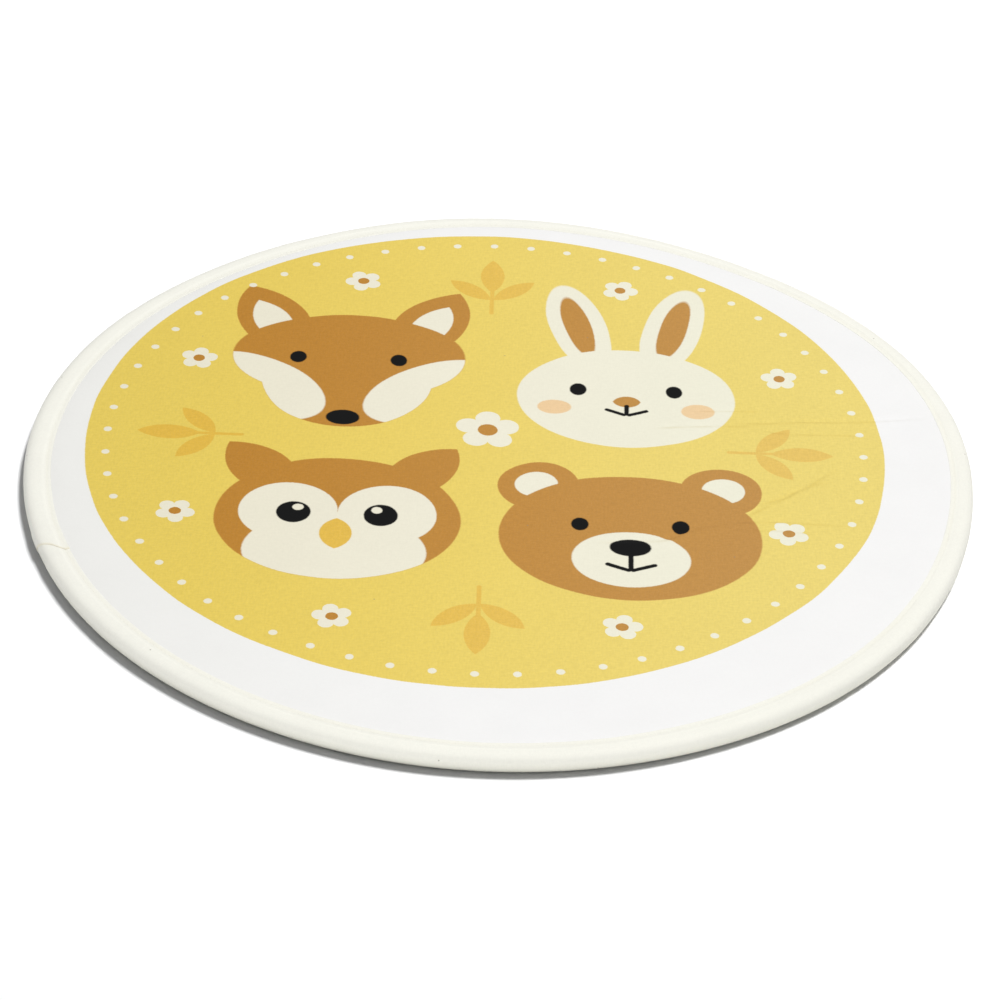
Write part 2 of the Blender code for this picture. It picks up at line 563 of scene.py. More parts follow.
def make_binding_mesh(puckers):
    outside = strip_outside()
    section = np.vstack([outside, strip_inside()])
    section_inset, section_height = section.T
    away = outward(section)
    is_outside = (np.arange(len(section)) < len(outside)).astype(float)
    height_angle = np.arctan2(
        section_height - ROLL_HEIGHT / 2, section_inset - ROLL_WIDTH / 2
    )
    off_edge = section_inset < GROOVE_INSET - 0.0004
    on_face = section_height > 0.008
    on_roll = eased(section_height, 0.0010, 0.0050) * off_edge
    shoulder = bell(height_angle, GATHERED_AT, GATHERED_OVER) * on_roll
    in_groove = bell(section_inset, GROOVE_INSET, GROOVE_WIDTH) * on_face
    above_floor = eased(section_height, 0.0002, 0.0030)

    turn = strip_turns()
    angle = JOIN_AT + turn
    to_end = (turn[-1] - turn) * RIM
    from_start = (turn - turn[0]) * RIM
    gather = 0.6 + 0.9 * np.maximum(rim_noise(angle, (1.0, 0.045, 8.1)), -0.4)
    gathers = puckers * GATHER_SIZE * gather * rim_noise(angle, *GATHER_NOISE)
    lift = JOIN_LIFT * (1 - eased(to_end, JOIN_LENGTH + 0.001, JOIN_LENGTH + 0.007))
    tucked = 1 - eased(from_start, JOIN_LENGTH + 0.006, JOIN_LENGTH + 0.014)
    closing = np.zeros(len(turn))
    closing[-2:] = END_CLOSING

    # the outer end of the strip is cut on the slant, from the rim forward to the groove
    slant = np.interp(np.degrees(height_angle) % 360, *JOIN_SLANT)
    from_line = (from_start - JOIN_LENGTH)[:, None] - slant
    # painted shade along the join's line and over the strip's outer end
    join_shade = bell(from_line, -0.0002, 0.0009)
    join_shade += 0.8 * (1 - eased(to_end, 0.0002, 0.0024))[:, None]

    # The ridge's mask raises the cloth and also paints a highlight along it
    ridge_inset = RIDGE_INSET + RIDGE_WANDER * np.cos(2 * (angle + RIDGE_TURN))
    ridge_inset += rim_noise(angle, *RIDGE_NOISE)
    ridge = bell(section_inset - ridge_inset[:, None], 0, RIDGE_WIDTH)
    ridge *= is_outside * (section_height > ROLL_HEIGHT / 2)
    ridge *= (0.75 + rim_noise(angle, (0.5, 0.03, 5.6)))[:, None]

    push = np.outer(rim_noise(angle, *FULLNESS_NOISE), on_roll) + np.outer(gathers, shoulder)
    push += JOIN_WELT * bell(from_line, 0.0017, 0.0013) * above_floor
    push -= np.outer(rim_noise(angle, *PULLED_NOISE), in_groove)
    push += np.outer(rim_noise(angle, *EDGE_NOISE), ~off_edge & on_face)
    push += np.outer(lift - (STRIP + JOIN_GAP - JOIN_LIFT) * tucked, above_floor)
    push -= np.outer((STRIP + JOIN_GAP) * tucked, 1 - above_floor)
    push -= np.outer(closing, 2 * is_outside - 1)
    push += RIDGE_HEIGHT * ridge
    inset = section_inset + away[:, 0] * push
    height = section_height + away[:, 1] * push
    inset = moved_with_seam(inset, height, seam_shift(angle)[:, None])
    around = angle[:, None] + (1 - eased(to_end, 0, BENT_OVER))[:, None] * slant / RIM
    radius = RIM - inset + waves_at(around, RIM_WAVES)
    points = np.stack([radius * np.cos(around), radius * np.sin(around), height], axis=2)

    faces, places = strip_faces(turn, section)
    data = bpy.data.meshes.new("binding_strip")
    data.from_pydata(points.reshape(-1, 3).tolist(), [], faces)
    seam_side = bell(section_inset, GROOVE_INSET + 0.0004, 0.0013)
    patches = np.clip(0.5 + rim_noise(angle, (0.8, 0.06, 2.8)), 0, 1)
    # painted shade along the join and in patches along the groove
    warm = np.clip(join_shade, 0, 1) + 0.22 * np.outer(patches, seam_side)
    # Painted shade: the binding is darker towards the floor, and most at the front
    front_weight = 0.35 + 0.65 * eased(-np.sin(angle), -0.1, 0.8)
    painted_low_shade = np.outer(front_weight, 1 - eased(section_height, 0.003, 0.0105))
    for name, values in (("warm", warm), ("ridge", ridge), ("painted_low_shade", painted_low_shade)):
        point_attribute(data, name, np.clip(values, 0, 1))
    data.uv_layers.new(name="strip").data.foreach_set("uv", np.array(places).ravel())
    binding = bpy.data.objects.new("binding_strip", data)
    bpy.context.collection.objects.link(binding)
    edit(binding, "FACE")
    face_outwards()
    leave_edit()
    return binding


# ---- stitches


def make_stitches_mesh():
    """One stitch is modelled at the right of the mat, and the row is copied from it."""
    deselect_all()
    bpy.ops.mesh.primitive_cylinder_add(
        vertices=6, radius=THREAD, depth=STITCH_LENGTH, end_fill_type="TRIFAN",
        location=(RIM - GROOVE_INSET, 0, GROOVE_HEIGHT + THREAD / 2), rotation=(pi / 2, 0, 0),
    )
    stitches = bpy.context.object
    stitches.name = stitches.data.name = "groove_stitches"
    bpy.ops.object.transform_apply(location=False, rotation=True, scale=False)
    edit(stitches, "EDGE")
    half = STITCH_LENGTH / 2
    for share in STITCH_CUTS:
        bpy.ops.mesh.select_all(action="SELECT")
        bpy.ops.mesh.bisect(
            plane_co=(RIM - GROOVE_INSET, half * share, 0), plane_no=(0, 1, 0)
        )
    leave_edit()
    points = mesh_points(stitches)
    share = np.abs(points[:, 1]) / half
    slim = 1 - 0.45 * share**4
    points[:, 0] *= slim
    points[:, 2] = points[:, 2] * slim - STITCH_DIP * share**3
    set_mesh_points(stitches, points)
    bpy.ops.object.transform_apply(location=True, rotation=False, scale=False)

    pivot = bpy.data.objects.new("stitch_turn", None)
    bpy.context.collection.objects.link(pivot)
    pivot.rotation_euler.z = 2 * pi / STITCHES
    row = stitches.modifiers.new("row", "ARRAY")
    row.count, row.offset_object = STITCHES, pivot
    row.use_relative_offset, row.use_object_offset = False, True
    make_active(stitches)
    bpy.ops.object.modifier_apply(modifier="row")
    bpy.data.objects.remove(pivot)
    points = mesh_points(stitches)
    angle, radius = polar(points)
    turned = JOIN_AT + angle
    radius = radius - seam_shift(turned)
    points[:, 0], points[:, 1] = radius * np.cos(turned), radius * np.sin(turned)
    set_mesh_points(stitches, pushed_out_of_round(points))
    return stitches


# ---- materials


class Wire:
    """What comes out of a node. A sum or a product of wires comes out of one more node."""

    def __init__(self, node, key=0):
        self.tree, self.socket = node.id_data, node.outputs[key]
        self.is_number = self.socket.type == "VALUE"

    def __add__(self, other):
        return maths("ADD", self, other)

    def __sub__(self, other):
        return maths("SUBTRACT", self, other)

    def __rsub__(self, other):
        return maths("SUBTRACT", other, self)

    def __mul__(self, other):
        by_number = other.is_number if isinstance(other, Wire) else isinstance(other, float)
        if self.is_number or not by_number:
            return maths("MULTIPLY", self, other)
        return wired("ShaderNodeVectorMath", {0: self, "Scale": other}, operation="SCALE")


def connect(node, inputs):
    """Sets a node's inputs, by name or by number, or links them to wires."""
    for key, value in inputs.items():
        if isinstance(value, Wire):
            value.tree.links.new(value.socket, node.inputs[key])
        else:
            node.inputs[key].default_value = value


def add(tree, kind, inputs, **settings):
    node = tree.nodes.new(kind)
    for name, value in settings.items():
        setattr(node, name, value)
    connect(node, inputs)
    return node


def wired(kind, inputs, key=0, **settings):
    """What comes out of a new node, in the tree that its inputs come from."""
    tree = next(value.tree for value in inputs.values() if isinstance(value, Wire))
    return Wire(add(tree, kind, inputs, **settings), key)


def maths(operation, *values, **settings):
    numbers = all(value.is_number for value in values if isinstance(value, Wire))
    kind = "ShaderNodeMath" if numbers else "ShaderNodeVectorMath"
    return wired(kind, dict(enumerate(values)), operation=operation, **settings)


def length(vector):
    return wired("ShaderNodeVectorMath", {0: vector}, "Value", operation="LENGTH")


def split(vector):
    """The X, Y and Z of a vector, or the red, green and blue of a colour."""
    kind = "Color" if vector.socket.type == "RGBA" else "XYZ"
    node = add(vector.tree, f"ShaderNodeSeparate{kind}", {0: vector})
    return [Wire(node, part) for part in range(3)]


def joined(*parts):
    return wired("ShaderNodeCombineXYZ", dict(enumerate(parts)))


def soft_edge(inside):
    """A mask from how far inside a printed edge each point lies, in millimetres."""
    return maths("MULTIPLY_ADD", inside, 1 / SOFTNESS, 0.5, use_clamp=True)


def mixed(share, low, high, blend="MIX"):
    """One colour laid over another by a share."""
    inputs = {0: share, 6: low, 7: high}
    return wired("ShaderNodeMix", inputs, 2, data_type="RGBA", blend_type=blend)


def shaded(share, colour, shade):
    return mixed(share, colour, (*shade, 1), "MULTIPLY")


def uneven(place, scale, detail, dimensions="3D", key=0, **inputs):
    inputs |= {"Vector": place, "Scale": scale, "Detail": detail}
    return wired("ShaderNodeTexNoise", inputs, key, noise_dimensions=dimensions)


def shift_of(place, scale, dimensions="3D"):
    """An uneven shift either way, of up to half a unit along each axis."""
    return uneven(place, scale, 1.0, dimensions, "Color") - (0.5, 0.5, 0.5)


def ramp(value, start, end, low=0.0, high=1.0, shape="LINEAR"):
    return wired(
        "ShaderNodeMapRange",
        {"Value": value, "From Min": start, "From Max": end, "To Min": low, "To Max": high},
        interpolation_type=shape,
    )


def placed(vector, centre, turn, size):
    """The vector as seen from a centre, turned and in units of the size."""
    inputs = {"Vector": vector, "Location": centre, "Rotation": turn, "Scale": size}
    return wired("ShaderNodeMapping", inputs, vector_type="TEXTURE")


def attribute(tree, name):
    return Wire(add(tree, "ShaderNodeAttribute", {}, attribute_name=name), "Fac")


def object_place(tree):
    return Wire(add(tree, "ShaderNodeTexCoord", {}), "Object")


FLOAT, COLOUR, VECTOR = "NodeSocketFloat", "NodeSocketColor", "NodeSocketVector"


def group_with(name, inputs, outputs):
    """A new group's inputs, as wires, and its end. An input is a kind or a default value."""
    group = bpy.data.node_groups.new(name, "ShaderNodeTree")
    for label, given in inputs.items():
        kind = given if isinstance(given, str) else VECTOR if np.ndim(given) else FLOAT
        socket = group.interface.new_socket(label, in_out="INPUT", socket_type=kind)
        if kind != given:
            socket.default_value = given
    for label, kind in outputs.items():
        group.interface.new_socket(label, in_out="OUTPUT", socket_type=kind)
    start = group.nodes.new("NodeGroupInput")
    return {label: Wire(start, label) for label in inputs}, group.nodes.new("NodeGroupOutput")


def ended(end, **outputs):
    """The group, with its end linked."""
    connect(end, outputs)
    return end.id_data


def group_node(name, build, inputs):
    """The outputs of a node of the named group, which is built when it is first needed."""
    group = bpy.data.node_groups.get(name) or build(name)
    node = add(inputs["Place"].tree, "ShaderNodeGroup", inputs, node_tree=group)
    return {socket.name: Wire(node, socket.name) for socket in node.outputs}


INKS = ("Yellow", "Cream", "Tan", "Black", "Deep yellow", "Blush")
SOFTNESS = 0.6  # millimetres over which the edge of a printed patch fades
INK_MOVES = ((900.0, 0.55), (16.0, 3.2))  # its bleeding and its sway: scale, and millimetres
BARE_NAP = (0.45, 0.8)  # the noise over which the ink misses the cloth
# where the painted sheen on the light inks grows, from left to right
SHEEN_FROM_TO = (-0.20, 0.24)  # across the mat
# where the painted shade at the face's left fades out
LEFT_SHADE_FROM_TO = (-0.29, 0.02)
THREAD_WANDER = 0.0009
DRIFT_SCALE = 26.0
LINT_SCALE = 55.0
LINT_SIZE = 0.028  # of the space that each speck of lint may lie in


def patch_group(name):
    """The mask of one printed patch: an oval, a pointed leaf or a rounded bar."""
    shape = name.removesuffix(" patch")
    place = {"Place": VECTOR, "Centre": VECTOR}
    size = {"Half size": (10, 10, 1), "Turn": 0.0, "Reach": 10.0}
    given, end = group_with(name, place | size, {"Mask": FLOAT})
    reach, half = given["Reach"], given["Half size"]
    size = half if shape == "oval" else (1, 1, 1)
    local = placed(given["Place"], given["Centre"], joined(0, 0, given["Turn"]), size)
    if shape == "oval":
        inside = (1.0 - length(local)) * reach
    else:
        across, up, _ = split(maths("ABSOLUTE", local))
        wide, tall, _ = split(half)
        if shape == "leaf":
            up = up + (reach - tall)
        else:
            across = maths("MAXIMUM", 0.0, across - (wide - reach))
        inside = reach - length(joined(across, up))
    return ended(end, Mask=soft_edge(inside))


def reach_of(shape, half):
    """What a patch's Reach is: the smaller half size, or the radius of a leaf's two sides."""
    if shape == "leaf":
        return (half[0] ** 2 + half[1] ** 2) / (2 * half[1])
    return min(half)


def petals(distance, size):
    turns = (radians(90 + 72 * petal) for petal in range(5))
    return tuple(
        ("oval", "Cream", (distance * cos(turn), distance * sin(turn)), (size, size), 0, "")
        for turn in turns
    )


# Each motif is patches laid over one another, in millimetres from its middle: shape, ink,
# centre, half size, turn in degrees, and whether it is on both sides or only on what is
# printed already
MOTIFS = {
    "fox head": (
        ("leaf", "Tan", (38, 34), (34, 17), 66, "both"),
        ("leaf", "Cream", (38.5, 33), (21, 9), 66, "both"),
        ("oval", "Tan", (0, 4), (56, 37), 0, ""),
        ("leaf", "Tan", (0, -16), (41, 41), 90, ""),
        ("oval", "Cream", (41, -24), (37, 22), 38, "both inside"),
        ("oval", "Black", (0, -49), (8, 6.2), 0, ""),
        ("oval", "Black", (24, 2), (4, 5.2), 0, "both"),
    ),
    "bear head": (
        ("oval", "Tan", (42, 34), (19, 19), 0, "both"),
        ("oval", "Cream", (43, 35), (10, 10), 0, "both"),
        ("oval", "Tan", (0, -4), (60, 48), 0, ""),
        ("oval", "Cream", (0, -21), (27, 21), 0, ""),
        ("oval", "Black", (0, -12), (9.5, 6.6), 0, ""),
        ("bar", "Black", (0, -22), (8, 1.2), 90, ""),
        ("bar", "Black", (5.8, -27.2), (6.4, 1.2), 24, "both"),
        ("oval", "Black", (23, 5), (4.0, 5.0), 0, "both"),
    ),
    "rabbit head": (
        ("oval", "Cream", (23, 45), (14, 39), -13, "both"),
        ("oval", "Tan", (23.5, 46), (6.6, 27), -13, "both"),
        ("oval", "Cream", (0, -16), (52, 42), 0, ""),
        ("oval", "Blush", (34, -26), (8, 6), 0, "both"),
        ("leaf", "Tan", (0, -20), (6.5, 4.6), 0, ""),
        ("bar", "Black", (0, -27), (4.5, 1.1), 90, ""),
        ("bar", "Black", (5.2, -29), (5.5, 1.1), 26, "both"),
        ("oval", "Black", (23, -10), (4, 5.2), 0, "both"),
    ),
    "owl head": (
        ("leaf", "Tan", (37, 38), (27, 14), 52, "both"),
        ("oval", "Tan", (0, 0), (57, 48), 0, ""),
        ("oval", "Cream", (0, -26), (42, 30), 0, "inside"),
        ("oval", "Cream", (23, 4), (23, 23), 0, "both"),
        ("oval", "Black", (20, 3), (8, 8.6), 0, "both"),
        ("oval", "Cream", (18, 7), (2.6, 2.6), 0, "both"),
        ("leaf", "Deep yellow", (0, -13), (12, 7.5), 90, ""),
    ),
    "flower": (*petals(13.5, 8.6), ("oval", "Tan", (0, 0), (6.8, 6.8), 0, "")),
    "sprig": (
        ("bar", "Deep yellow", (0, -14), (15, 1.3), 90, ""),
        ("leaf", "Deep yellow", (0, 14), (18, 7), 90, ""),
        ("leaf", "Deep yellow", (13, -2), (16, 6), 40, "both"),
    ),
}


def motif_group(name):
    """A motif's colour and mask, from its own millimetres and the inks."""
    inputs = {"Place": VECTOR, **dict.fromkeys(INKS, COLOUR)}
    given, end = group_with(name, inputs, {"Colour": COLOUR, "Mask": FLOAT})
    place = given["Place"]
    both = joined(split(maths("ABSOLUTE", place))[0], split(place)[1])
    colour, covered = given[MOTIFS[name][0][1]], None
    for shape, ink, centre, half, turn, laid in MOTIFS[name]:
        at = {"Place": both if "both" in laid else place, "Centre": (*centre, 0)}
        size = {"Half size": (*half, 1), "Turn": radians(turn), "Reach": reach_of(shape, half)}
        mask = group_node(f"{shape} patch", patch_group, at | size)["Mask"]
        if covered is None:
            covered = mask
            continue
        if "inside" in laid:
            mask = mask * covered
        colour = mixed(mask, colour, given[ink])
        covered = maths("MAXIMUM", covered, mask)
    return ended(end, Colour=colour, Mask=covered)


# Where the motifs lie in the printed disc: motif, centre in millimetres, turn and size
HEADS = (
    ("fox head", (-92, 90), 0, 1.36),
    ("rabbit head", (90, 80), 0, 1.36),
    ("owl head", (-90, -88), 0, 1.34),
    ("bear head", (92, -92), 0, 1.36),
    ("flower", (1, 15), 0, 0.95),
)
BORDER = (("sprig", (186, 0), -90, 1.12), ("flower", (190, 87), -65, 0.56))
DOTS = 60
DOT_RING = 241.0
DOT_SIZE = 2.6


def print_group(name):
    """The whole print: a disc with four heads, a border of sprigs, flowers and dots."""
    inputs = {"Place": VECTOR, "Radius": 254.0, **dict.fromkeys(("Ground", *INKS), COLOUR)}
    given, end = group_with(name, inputs, {"Colour": COLOUR, "Disc": FLOAT})
    place = given["Place"]
    from_middle = length(place)
    disc = soft_edge(given["Radius"] - from_middle)
    colour = mixed(disc, given["Ground"], given["Yellow"])

    # the border is the same in each eighth, so it is drawn once
    across, up, _ = split(maths("ABSOLUTE", place))
    eighth = joined(maths("MAXIMUM", across, up), maths("MINIMUM", across, up))
    inks = {ink: given[ink] for ink in INKS}
    for at, motifs in ((eighth, BORDER), (place, HEADS)):
        for motif, centre, turn, size in motifs:
            local = placed(at, (*centre, 0), (0, 0, radians(turn)), (size, size, 1))
            laid = group_node(motif, motif_group, {"Place": local, **inks})
            colour = mixed(laid["Mask"], colour, laid["Colour"])

    across, up, _ = split(place)
    share = maths("ARCTAN2", up, across) * (DOTS / (2 * pi))
    off = (share - maths("ROUND", share)) * (2 * pi / DOTS * DOT_RING)
    dot = soft_edge(DOT_SIZE - length(joined(off, from_middle - DOT_RING)))
    return ended(end, Colour=mixed(dot, colour, given["Cream"]), Disc=disc)


def weave_group(name):
    """A plain weave of uneven threads: its height, and how light each thread is."""
    inputs = {"Place": VECTOR, "Thread": 0.0009, "Uneven": 0.5}
    given, end = group_with(name, inputs, {"Height": FLOAT, "Tone": FLOAT})
    place = given["Place"] + shift_of(given["Place"], 240.0, "2D") * THREAD_WANDER
    counted = place * maths("DIVIDE", 1.0, given["Thread"])
    across, down = (maths("SINE", part * pi) for part in split(counted)[:2])
    raised = maths("ABSOLUTE", across) + maths("ABSOLUTE", down)
    height = maths("MULTIPLY_ADD", across * down, 0.25, maths("MULTIPLY", 0.375, raised))
    lengthways, crossways = (
        uneven(counted * stretch, 1.0, 1.0, "2D", Roughness=0.5) - 0.5
        for stretch in ((0.8, 0.22, 1), (0.22, 0.8, 1))
    )
    return ended(end, Height=height, Tone=(lengthways + crossways) * given["Uneven"])


def wear_group(name):
    """Slow drifts of tone, and a few dark specks of lint."""
    inputs = {"Place": VECTOR, "Specks": 0.02}
    given, end = group_with(name, inputs, {"Drift": FLOAT, "Speck": FLOAT})
    place = given["Place"]
    inputs = {"Vector": place, "Scale": LINT_SCALE, "Randomness": 1.0}
    look = {"feature": "F1", "voronoi_dimensions": "2D"}
    cells = add(place.tree, "ShaderNodeTexVoronoi", inputs, **look)
    near = maths("LESS_THAN", Wire(cells, "Distance"), LINT_SIZE)
    few = maths("LESS_THAN", split(Wire(cells, "Color"))[0], given["Specks"])
    drift = uneven(place, DRIFT_SCALE, 3.0, Roughness=0.55) - 0.5
    return ended(end, Drift=drift, Speck=near * few)


def plain_material(name, inputs):
    """A new material and its shader, with the shader's inputs set."""
    made = bpy.data.materials.new(name)
    made.use_nodes = True
    shader = made.node_tree.nodes["Principled BSDF"]
    connect(shader, inputs)
    return made, shader


def cloth(name, roughness, sheen):
    inputs = {"Roughness": roughness, "Specular IOR Level": 0.08}
    return plain_material(name, inputs | {"Sheen Weight": sheen, "Sheen Roughness": 0.45})


def dress(shader, colour, relief, strength, depth):
    """Gives a cloth its colour, and the relief of its threads."""
    inputs = {"Height": relief, "Strength": strength, "Distance": depth}
    connect(shader, {"Base Color": colour, "Normal": wired("ShaderNodeBump", inputs)})


def woven(place, thread, unevenness):
    inputs = {"Place": place, "Thread": thread, "Uneven": unevenness}
    return group_node("Plain weave", weave_group, inputs)


def handled(place, specks):
    return group_node("Handling", wear_group, {"Place": place, "Specks": specks})


def toned(colour, *tones):
    """A colour made lighter or darker by the sum of the tones."""
    total = sum(tones[1:], tones[0]) + 1.0
    return maths("MULTIPLY", colour, joined(total, total, total))


def specked(colour, specks, dark):
    return mixed(specks * 0.5, colour, (*dark, 1))


def face_cloth(settings):
    made, shader = cloth("printed face cloth", 0.85, 0.03)
    tree = made.node_tree
    place = object_place(tree)
    in_mm = placed(place, (*settings.print_offset, 0), (0, 0, 0), (MM, MM, 1))
    for scale, reach in INK_MOVES:
        in_mm = in_mm + shift_of(place, scale) * reach
    inks = {
        name: (*getattr(settings, name.lower().replace(" ", "_")), 1)
        for name in ("Ground", *INKS)
    }
    radius = settings.print_radius / MM
    printed = group_node(
        "Printed face", print_group, {"Place": in_mm * (1, 1, 0), "Radius": radius, **inks}
    )
    disc = printed["Disc"]
    weave, wear = woven(place, 0.0010, 0.20), handled(place, 0.008)
    light_ink, _, blue = split(printed["Colour"])
    across = split(place)[0]

    nap = uneven(place, 1100.0, 1.0, "2D")
    bare = ramp(nap, *BARE_NAP, high=0.05) * light_ink
    colour = mixed(bare, printed["Colour"], inks["Ground"])
    # painted sheen: the light inks grow paler towards the right
    paled = ramp(across, *SHEEN_FROM_TO, high=settings.right_sheen, shape="SMOOTHSTEP")
    colour = mixed(paled * light_ink * disc, colour, (*settings.sheen_tint, 1))
    grain = weave["Tone"] * maths("MULTIPLY_ADD", blue, -0.72, 0.68)
    colour = toned(colour, grain, wear["Drift"] * 0.05)
    # painted shade: the face is darker towards its left
    left_shaded = ramp(across, *LEFT_SHADE_FROM_TO, 1.0, 0.0, "SMOOTHSTEP")
    colour = shaded(left_shaded, colour, settings.left_shade)
    on_print = maths("MULTIPLY_ADD", disc, 0.75, 0.25)
    folded = attribute(tree, "fold") * light_ink * on_print
    colour = shaded(folded, colour, settings.fold_shade)
    colour = specked(colour, wear["Speck"], (0.25, 0.22, 0.18))
    dress(shader, colour, weave["Height"], 0.15, 0.00012)
    return made


def binding_cloth(settings):
    made, shader = cloth("ivory binding cloth", 0.78, 0.15)
    tree = made.node_tree
    along = Wire(add(tree, "ShaderNodeUVMap", {}, uv_map="strip"))
    weave, wear = woven(along, 0.0007, 0.05), handled(along, 0.05)
    # Painted shade: the binding is mixed towards a darker ivory near the floor, most at the
    # front
    ivory, ivory_in_shade = (*settings.ivory, 1), (*settings.shaded_ivory, 1)
    colour = mixed(attribute(tree, "painted_low_shade"), ivory, ivory_in_shade)
    # painted highlight along the binding's ridge
    painted_ridge_light = attribute(tree, "ridge") * settings.ridge_highlight
    colour = toned(colour, weave["Tone"], wear["Drift"] * 0.05, painted_ridge_light)
    # painted shade along the seam and at the join
    colour = shaded(attribute(tree, "warm"), colour, settings.seam_shade)
    colour = specked(colour, wear["Speck"], (0.22, 0.19, 0.15))
    dress(shader, colour, weave["Height"], 0.12, 0.0001)
    return made


def thread_material(settings):
    made, shader = cloth("ivory thread", 0.5, 0.1)
    ply = uneven(object_place(made.node_tree), 1500.0, 2.0)
    dress(shader, toned(settings.thread, (ply - 0.5) * 0.25), ply, 0.4, 0.0001)
    return made


def backing_cloth(settings):
    made, shader = cloth("plain backing cloth", 0.9, 0.05)
    place = object_place(made.node_tree)
    weave = woven(place, 0.0012, 0.25)
    colour = toned(settings.backing, weave["Tone"], handled(place, 0.0)["Drift"] * 0.08)
    dress(shader, colour, weave["Height"], 0.4, 0.00015)
    return made


def floor_material(settings):
    made, shader = plain_material("pale floor", {"Roughness": 0.9, "Specular IOR Level": 0.0})
    drift = uneven(object_place(made.node_tree), 3.0, 2.0)
    connect(shader, {"Base Color": toned(settings.floor, (drift - 0.5) * 0.01)})
    return made


# ---- settings and operators


SHARE = {"min": 0.0, "max": 1.0, "subtype": "FACTOR"}
TO_DOUBLE = {"min": 0.0, "max": 2.0, "subtype": "FACTOR"}
POWER = {"min": 0.0, "subtype": "POWER"}
LENGTH, ANGLE = {"unit": "LENGTH"}, {"subtype": "ANGLE"}


def number(name, description, default, kind):
    return FloatProperty(name=name, description=description, default=default, **kind)


def colour_of(name, description, default):
    return FloatVectorProperty(
        name=name, description=description, default=default, subtype="COLOR", size=3,
        min=0.0, max=1.0,
    )


class MatSettings(bpy.types.PropertyGroup):
    print_radius: number("Printed disc", "Radius of the printed yellow disc", 0.254, LENGTH)
    print_offset: FloatVectorProperty(
        name="Print offset", description="How far off the middle the print was cut",
        default=(-0.010, 0.019), size=2, unit="LENGTH",
    )
    creases: number("Creases", "How deep the face's storage creases are", 1.0, TO_DOUBLE)
    unevenness: number("Unevenness", "How uneven the filling is", 1.0, TO_DOUBLE)
    puckers: number("Puckers", "How much the binding is gathered", 1.0, TO_DOUBLE)
    ground: colour_of("Ground", "The white of the face cloth", (0.858, 0.849, 0.829))
    yellow: colour_of("Yellow", "Ink of the disc", (0.78, 0.587, 0.112))
    cream: colour_of("Cream", "Light ink of the motifs", (0.813, 0.769, 0.623))
    tan: colour_of("Tan", "Warm ink of the motifs", (0.490, 0.221, 0.031))
    black: colour_of("Black", "Dark ink of eyes and noses", (0.006, 0.006, 0.006))
    deep_yellow: colour_of("Deep yellow", "Ink of the sprigs", (0.742, 0.469, 0.065))
    blush: colour_of("Blush", "Ink of the cheeks", (0.808, 0.547, 0.293))
    ivory: colour_of("Ivory", "The binding cloth", (0.870, 0.858, 0.770))
    # the binding's colour in its painted shade near the floor
    shaded_ivory: colour_of("Shaded ivory", "The binding at the floor", (0.76, 0.75, 0.65))
    thread: colour_of("Thread", "The stitches", (0.84, 0.83, 0.735))
    backing: colour_of("Backing", "The underside", (0.66, 0.65, 0.6))
    floor: colour_of("Floor", "The pale floor", (0.95, 0.95, 0.95))
    # the tint of the painted sheen on the light inks at the right
    sheen_tint: colour_of("Sheen tint", "What the inks fade towards", (0.80, 1.0, 0.76))
    # the colour of the painted shade at the face's left
    left_shade: colour_of("Greying", "What shading does at the left", (0.948, 0.950, 0.924))
    fold_shade: colour_of("Fold shade", "What a crease does", (0.955, 0.925, 0.84))
    seam_shade: colour_of("Seam shade", "What seam and join do", (0.94, 0.895, 0.79))
    # the strength of the painted highlight along the binding's ridge
    ridge_highlight: number("Ridge highlight", "How much paler the binding's ridge is", 0.045, SHARE)
    # how strong the painted sheen is at the right
    right_sheen: number("Right sheen", "How far the print has faded at the right", 0.12, SHARE)


class StudioSettings(bpy.types.PropertyGroup):
    key: number("Key light", "Power of the soft key light", 46.0, POWER)
    key_turn: number("Key turn", "Which way the key light lies", radians(63), ANGLE)
    key_height: number("Key height", "How high the key light is", radians(57), ANGLE)
    key_distance: number("Key distance", "How far off it stands", 2.8, LENGTH)
    key_size: number("Key size", "Width of the key light", 1.2, LENGTH)
    floor_power: number("Floor light", "Power of the floor's key light", 411.0, POWER)
    floor_turn: number("Floor light turn", "Which way it lies", radians(42), ANGLE)
    floor_height: number("Floor light height", "How high it is", radians(65.5), ANGLE)
    front: number("Front fill", "Power of the mat's own front light", 76.0, POWER)
    front_turn: number("Front turn", "Which way the front fill lies", radians(267), ANGLE)
    front_height: number("Front height", "How high the fill stands", radians(50.5), ANGLE)
    fill: number("Fill", "Light from all round", 0.165, {"min": 0.0})
    lens: number("Lens", "Focal length in millimetres", 137.3, {"min": 1.0})
    distance: number("Camera distance", "From the mat's middle", 2.4, LENGTH)
    elevation: number("Camera height", "Angle above the floor", radians(35.01), ANGLE)
    roll: number("Camera roll", "Tilt of the picture", radians(2.17), ANGLE)


AIM = Vector((0.0006, -0.0258, 0.0))
CAMERA_REACH = (0.1, 50)
SENSOR = 36
FLOOR_SIZE = 12
FLOOR_DROP = 0.0002
FLOOR_LIGHT_DISTANCE = 6.0
FLOOR_LIGHT_SIZE = (1.5, 1.5)
FRONT_DISTANCE = 3.0
FRONT_SIZE = (5.0, 1.2)
FILL_TINT = (0.875, 0.905, 1, 1)
SKY = (0.93, 0.95, 0.97, 1)


def collected(name, *pieces):
    collection = bpy.data.collections.new(name)
    for piece in pieces:
        collection.objects.link(bpy.data.objects[piece])
    return collection


def studio_light(name, power, at, size, receivers):
    """A soft light aimed at the mat's middle, on the pieces of one collection."""
    turn, height, distance = at
    data = bpy.data.lights.new(name, "AREA")
    data.energy, data.shape = power, "RECTANGLE"
    data.size, data.size_y = size
    light = bpy.data.objects.new(name, data)
    towards = Vector((cos(turn) * cos(height), sin(turn) * cos(height), sin(height)))
    light.location = towards * distance
    light.rotation_euler = towards.to_track_quat("Z", "Y").to_euler()
    bpy.context.scene.collection.objects.link(light)
    light.light_linking.receiver_collection = receivers


